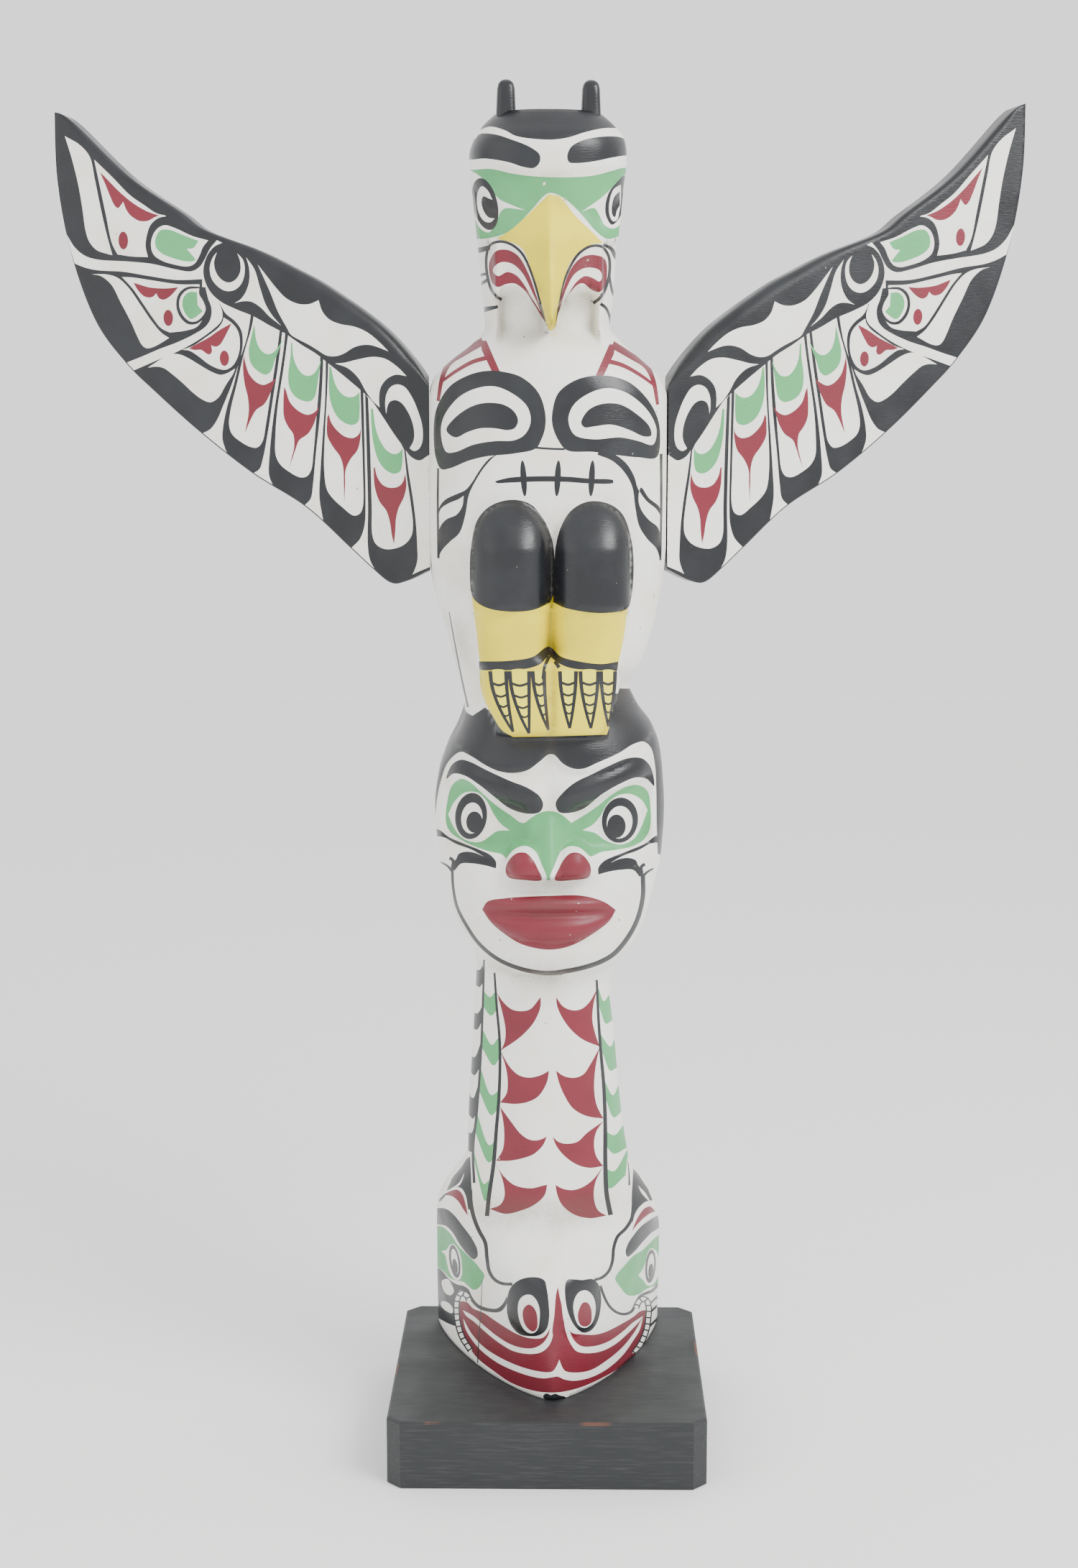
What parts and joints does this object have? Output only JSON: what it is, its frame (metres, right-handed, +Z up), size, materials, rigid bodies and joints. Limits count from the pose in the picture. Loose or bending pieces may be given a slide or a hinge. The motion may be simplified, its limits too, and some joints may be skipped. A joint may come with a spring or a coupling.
{
  "type": "totem pole",
  "caption": "Table-height carved and painted wooden totem pole: a winged bird on top, a human face, a beast's head at the foot, board wings at the sides, on a square chamfered plinth.",
  "frame": {"origin": "Centre of the plinth's underside, on the surface the object stands on.", "axes": "+Z up. The carving faces -Y, turned 3.3 degrees about Z towards +X on its plinth. +X is to the right of someone facing the front."},
  "size_m": [0.5428, 0.178, 0.768],
  "materials": {
    "painted_pole": "satin enamel on carved wood: off-white ground with black, green, dark red and yellow shapes",
    "painted_wing_left": "satin enamel on board: off-white ground with black, green and dark red shapes, black edges and back",
    "painted_wing_right": "satin enamel on board: off-white ground with black, green and dark red shapes, black edges and back",
    "black_plinth": "black satin enamel on a square board, faint brush marks and rubbed edges"
  },
  "bodies": {
    "root": {"pole": "painted_pole", "wing_left": "painted_wing_left", "wing_right": "painted_wing_right", "plinth": "black_plinth"}
  },
  "joints": []
}
